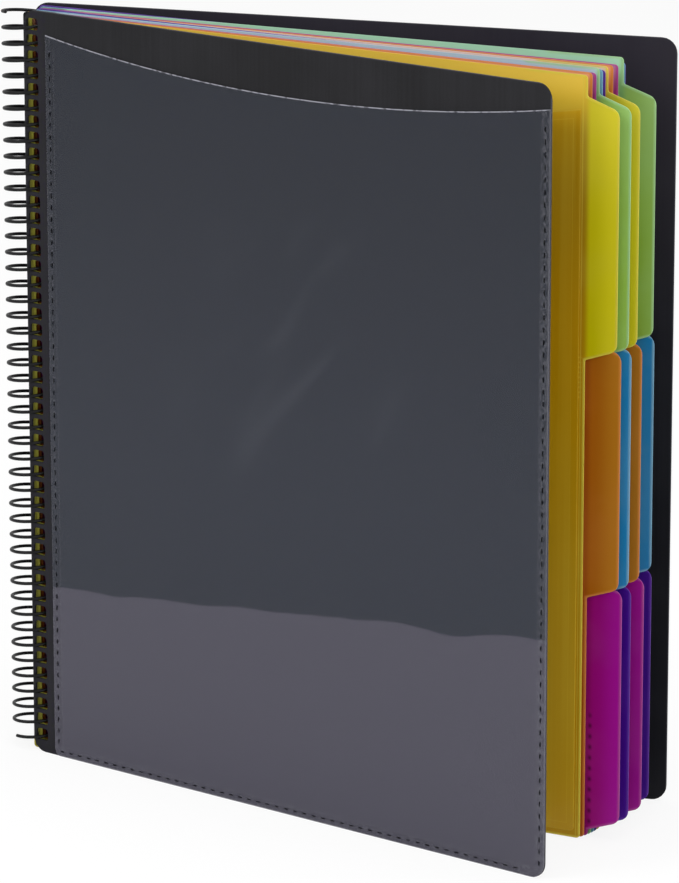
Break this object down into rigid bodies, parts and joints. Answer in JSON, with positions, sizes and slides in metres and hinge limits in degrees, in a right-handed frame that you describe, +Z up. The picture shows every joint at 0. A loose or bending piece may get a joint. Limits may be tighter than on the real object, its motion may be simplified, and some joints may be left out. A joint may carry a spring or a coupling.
{
  "type": "project organizer folder",
  "caption": "Spiral bound organizer folder with poly covers, a clear front pocket and tabbed pocket dividers that turn on a wire coil, standing open like a fan.",
  "frame": {"origin": "on the floor, under the middle of the standing, part opened folder", "axes": "+Z up along the coil's axis, +X from the spine to the fore edge along the middle of the fan, -Y on the front cover's side"},
  "size_m": [0.2693, 0.1076, 0.2985],
  "materials": {
    "cover_poly": "fine matt grain, charcoal polypropylene",
    "clear_film": "clear glossy film",
    "thread": "black thread",
    "coil_wire": "black coated wire, semi-gloss",
    "yellow_poly": "translucent yellow polypropylene",
    "orange_poly": "translucent orange polypropylene",
    "magenta_poly": "translucent magenta polypropylene",
    "green_poly": "translucent mint green polypropylene",
    "blue_poly": "translucent blue polypropylene",
    "purple_poly": "translucent purple polypropylene"
  },
  "bodies": {
    "back_cover": {"back_cover": "cover_poly"},
    "divider_12": {"divider_12": "purple_poly", "front_pocket_12": "purple_poly", "back_pocket_12": "purple_poly"},
    "divider_11": {"divider_11": "blue_poly", "front_pocket_11": "blue_poly", "back_pocket_11": "blue_poly"},
    "divider_10": {"divider_10": "green_poly", "front_pocket_10": "green_poly", "back_pocket_10": "green_poly"},
    "divider_09": {"divider_09": "magenta_poly", "front_pocket_09": "magenta_poly", "back_pocket_09": "magenta_poly"},
    "divider_08": {"divider_08": "orange_poly", "front_pocket_08": "orange_poly", "back_pocket_08": "orange_poly"},
    "divider_07": {"divider_07": "yellow_poly", "front_pocket_07": "yellow_poly", "back_pocket_07": "yellow_poly"},
    "divider_06": {"divider_06": "purple_poly", "front_pocket_06": "purple_poly", "back_pocket_06": "purple_poly"},
    "divider_05": {"divider_05": "blue_poly", "front_pocket_05": "blue_poly", "back_pocket_05": "blue_poly"},
    "divider_04": {"divider_04": "green_poly", "front_pocket_04": "green_poly", "back_pocket_04": "green_poly"},
    "divider_03": {"divider_03": "magenta_poly", "front_pocket_03": "magenta_poly", "back_pocket_03": "magenta_poly"},
    "divider_02": {"divider_02": "orange_poly", "front_pocket_02": "orange_poly", "back_pocket_02": "orange_poly"},
    "divider_01": {"divider_01": "yellow_poly", "front_pocket_01": "yellow_poly", "back_pocket_01": "yellow_poly"},
    "front_cover": {"front_cover": "cover_poly", "cover_overlay": "clear_film", "overlay_stitching": "thread", "spiral_coil": "coil_wire"}
  },
  "joints": [
    {"name": "divider_12_hinge", "type": "hinge", "parent": "back_cover", "child": "divider_12", "pos_m": [-0.12366, 0.00036, 0], "axis": [0, 0, -1], "range_deg": [-4.61, 6]},
    {"name": "divider_11_hinge", "type": "hinge", "parent": "divider_12", "child": "divider_11", "pos_m": [-0.12366, 0.00036, 0], "axis": [0, 0, -1], "range_deg": [-0.36, 6]},
    {"name": "divider_10_hinge", "type": "hinge", "parent": "divider_11", "child": "divider_10", "pos_m": [-0.12366, 0.00036, 0], "axis": [0, 0, -1], "range_deg": [-0.45, 6]},
    {"name": "divider_09_hinge", "type": "hinge", "parent": "divider_10", "child": "divider_09", "pos_m": [-0.12366, 0.00036, 0], "axis": [0, 0, -1], "range_deg": [-1.29, 6]},
    {"name": "divider_08_hinge", "type": "hinge", "parent": "divider_09", "child": "divider_08", "pos_m": [-0.12366, 0.00036, 0], "axis": [0, 0, -1], "range_deg": [-1.02, 6]},
    {"name": "divider_07_hinge", "type": "hinge", "parent": "divider_08", "child": "divider_07", "pos_m": [-0.12366, 0.00036, 0], "axis": [0, 0, -1], "range_deg": [-0.86, 6]},
    {"name": "divider_06_hinge", "type": "hinge", "parent": "divider_07", "child": "divider_06", "pos_m": [-0.12366, 0.00036, 0], "axis": [0, 0, -1], "range_deg": [-0.3, 6]},
    {"name": "divider_05_hinge", "type": "hinge", "parent": "divider_06", "child": "divider_05", "pos_m": [-0.12366, 0.00036, 0], "axis": [0, 0, -1], "range_deg": [-0.2, 6]},
    {"name": "divider_04_hinge", "type": "hinge", "parent": "divider_05", "child": "divider_04", "pos_m": [-0.12366, 0.00036, 0], "axis": [0, 0, -1], "range_deg": [-0.2, 6]},
    {"name": "divider_03_hinge", "type": "hinge", "parent": "divider_04", "child": "divider_03", "pos_m": [-0.12366, 0.00036, 0], "axis": [0, 0, -1], "range_deg": [-0.2, 6]},
    {"name": "divider_02_hinge", "type": "hinge", "parent": "divider_03", "child": "divider_02", "pos_m": [-0.12366, 0.00036, 0], "axis": [0, 0, -1], "range_deg": [-0.2, 6]},
    {"name": "divider_01_hinge", "type": "hinge", "parent": "divider_02", "child": "divider_01", "pos_m": [-0.12366, 0.00036, 0], "axis": [0, 0, -1], "range_deg": [-0.2, 6]},
    {"name": "front_cover_hinge", "type": "hinge", "parent": "divider_01", "child": "front_cover", "pos_m": [-0.12366, 0.00036, 0], "axis": [0, 0, -1], "range_deg": [-10.55, 85]}
  ]
}
